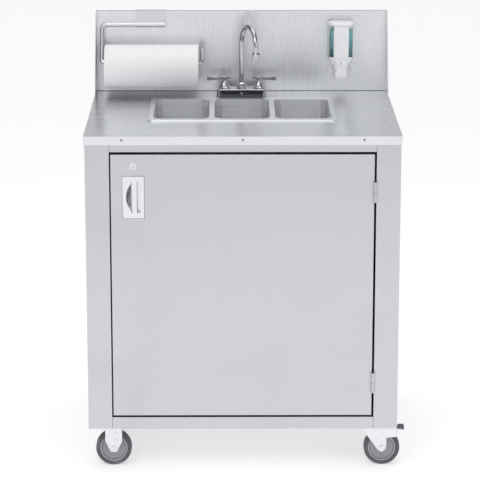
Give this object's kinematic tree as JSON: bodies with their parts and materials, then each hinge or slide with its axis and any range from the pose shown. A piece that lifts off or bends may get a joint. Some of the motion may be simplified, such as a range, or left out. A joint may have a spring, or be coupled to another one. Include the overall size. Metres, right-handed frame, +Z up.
{
  "type": "portable handwash sink",
  "caption": "Self-contained stainless handwash cart: a three-compartment sink with gooseneck tap on a lockable cabinet with tanks and pump, towel and soap holders, on rigid and swivel casters.",
  "frame": {"origin": "on the floor, under the centre of the countertop's outline (the middle of its width and of its depth with the backsplash)", "axes": "+X to the right as seen from the door side, +Y to the back, towards the wall, +Z up"},
  "size_m": [0.897, 0.7095, 1.2095],
  "materials": {
    "counter_steel": "fine grain running along the top, satin",
    "panel_steel": "vertical brushed grain, satin",
    "door_steel": "even fine grain, satin",
    "sink_steel": "brighter satin",
    "fastener_steel": "polished",
    "pull_steel": "satin plate, polished grip",
    "lock_chrome": "polished",
    "hinge_steel": "satin",
    "tap_chrome": "mirror polished",
    "rod_steel": "satin",
    "towel_paper": "soft, lightly embossed",
    "core_board": "plain",
    "dispenser_white": "smooth gloss",
    "bottle_clear": "clear",
    "pump_black": "moulded",
    "caster_zinc": "bright zinc plate",
    "hub_grey": "moulded",
    "tyre_rubber": "smooth tread",
    "pedal_grey": "moulded",
    "tank_white": "blow moulded, slightly translucent",
    "cap_black": "moulded",
    "pipe_white": "smooth",
    "heater_white": "powder coat",
    "hose_clear": "reinforced vinyl"
  },
  "bodies": {
    "cart": {"countertop": "counter_steel", "backsplash": "panel_steel", "left_side_panel": "panel_steel", "right_side_panel": "panel_steel", "back_panel": "panel_steel", "base_pan": "panel_steel", "top_rail": "panel_steel", "bottom_rail": "panel_steel", "lip_screws": "fastener_steel", "hinge_frame_leaves": "hinge_steel", "sink_rim": "sink_steel", "sink_bowl_left": "sink_steel", "sink_bowl_centre": "sink_steel", "sink_bowl_right": "sink_steel", "drain_strainers": "fastener_steel", "faucet_body": "tap_chrome", "valve_bonnets": "tap_chrome", "towel_bracket": "rod_steel", "towel_rod": "rod_steel", "soap_backplate": "dispenser_white", "soap_cover": "dispenser_white", "soap_bottle": "bottle_clear", "soap_pump": "pump_black", "rigid_caster_forks": "caster_zinc", "swivel_plates": "caster_zinc", "fresh_tank": "tank_white", "waste_tank": "tank_white", "tank_caps": "cap_black", "drain_pipes": "pipe_white", "water_pump": "pump_black", "water_heater": "heater_white", "water_hoses": "hose_clear", "power_inlet": "cap_black"},
    "door": {"door_skin": "door_steel", "door_liner": "panel_steel", "pull_handle": "pull_steel", "lock_body": "lock_chrome", "hinge_door_leaves": "hinge_steel"},
    "lock_plug": {"lock_plug": "lock_chrome"},
    "spout": {"spout": "tap_chrome", "aerator": "tap_chrome"},
    "hot_handle": {"hot_handle": "tap_chrome"},
    "cold_handle": {"cold_handle": "tap_chrome"},
    "soap_button": {"soap_button": "dispenser_white"},
    "soap_lid": {"soap_lid": "dispenser_white"},
    "towel_roll": {"paper_roll": "towel_paper", "roll_core": "core_board"},
    "swivel_front": {"swivel_fork_front": "caster_zinc"},
    "swivel_rear": {"swivel_fork_rear": "caster_zinc"},
    "brake_front": {"brake_pedal_front": "pedal_grey"},
    "brake_rear": {"brake_pedal_rear": "pedal_grey"},
    "wheel_left_front": {"tyre_left_front": "tyre_rubber", "wheel_hub_left_front": "hub_grey"},
    "wheel_left_rear": {"tyre_left_rear": "tyre_rubber", "wheel_hub_left_rear": "hub_grey"},
    "wheel_right_front": {"tyre_right_front": "tyre_rubber", "wheel_hub_right_front": "hub_grey"},
    "wheel_right_rear": {"tyre_right_rear": "tyre_rubber", "wheel_hub_right_rear": "hub_grey"}
  },
  "joints": [
    {"name": "door_hinge", "type": "hinge", "parent": "cart", "child": "door", "pos_m": [0.365, -0.3535, 0.5395], "axis": [0, 0, 1], "range_deg": [0, 165]},
    {"name": "lock_turn", "type": "hinge", "parent": "door", "child": "lock_plug", "pos_m": [-0.302, -0.347, 0.884], "axis": [0, 1, 0], "range_deg": [0, 90]},
    {"name": "spout_swivel", "type": "hinge", "parent": "cart", "child": "spout", "pos_m": [0, 0.249, 0.99], "axis": [0, 0, 1], "range_deg": [-80, 80]},
    {"name": "hot_valve", "type": "hinge", "parent": "cart", "child": "hot_handle", "pos_m": [-0.0508, 0.249, 0.99], "axis": [0, 0, 1], "range_deg": [0, 90]},
    {"name": "cold_valve", "type": "hinge", "parent": "cart", "child": "cold_handle", "pos_m": [0.0508, 0.249, 0.99], "axis": [0, 0, 1], "range_deg": [-90, 0]},
    {"name": "soap_push", "type": "slide", "parent": "cart", "child": "soap_button", "axis": [0, 1, 0], "range_m": [0, 0.008], "stiffness_N_per_m": 300},
    {"name": "soap_lid_hinge", "type": "hinge", "parent": "cart", "child": "soap_lid", "pos_m": [0.296, 0.322, 1.183], "axis": [-1, 0, 0], "range_deg": [0, 92]},
    {"name": "roll_spin", "type": "hinge", "parent": "cart", "child": "towel_roll", "pos_m": [-0.2665, 0.255, 1.054], "axis": [1, 0, 0], "continuous": true},
    {"name": "swivel_front", "type": "hinge", "parent": "cart", "child": "swivel_front", "pos_m": [0.366, -0.285, 0.116], "axis": [0, 0, 1], "continuous": true},
    {"name": "brake_front", "type": "hinge", "parent": "swivel_front", "child": "brake_front", "pos_m": [0.4, -0.285, 0.107], "axis": [0, 1, 0], "range_deg": [0, 7], "stiffness_Nm_per_rad": 4, "springref_deg": -2.86},
    {"name": "wheel_spin_left_front", "type": "hinge", "parent": "cart", "child": "wheel_left_front", "pos_m": [-0.367, -0.285, 0.0508], "axis": [0, 1, 0], "continuous": true},
    {"name": "wheel_spin_right_front", "type": "hinge", "parent": "swivel_front", "child": "wheel_right_front", "pos_m": [0.396, -0.285, 0.0508], "axis": [0, 1, 0], "continuous": true},
    {"name": "swivel_rear", "type": "hinge", "parent": "cart", "child": "swivel_rear", "pos_m": [0.366, 0.285, 0.116], "axis": [0, 0, 1], "continuous": true},
    {"name": "brake_rear", "type": "hinge", "parent": "swivel_rear", "child": "brake_rear", "pos_m": [0.4, 0.285, 0.107], "axis": [0, 1, 0], "range_deg": [0, 7], "stiffness_Nm_per_rad": 4, "springref_deg": -2.86},
    {"name": "wheel_spin_left_rear", "type": "hinge", "parent": "cart", "child": "wheel_left_rear", "pos_m": [-0.367, 0.285, 0.0508], "axis": [0, 1, 0], "continuous": true},
    {"name": "wheel_spin_right_rear", "type": "hinge", "parent": "swivel_rear", "child": "wheel_right_rear", "pos_m": [0.396, 0.285, 0.0508], "axis": [0, 1, 0], "continuous": true}
  ]
}
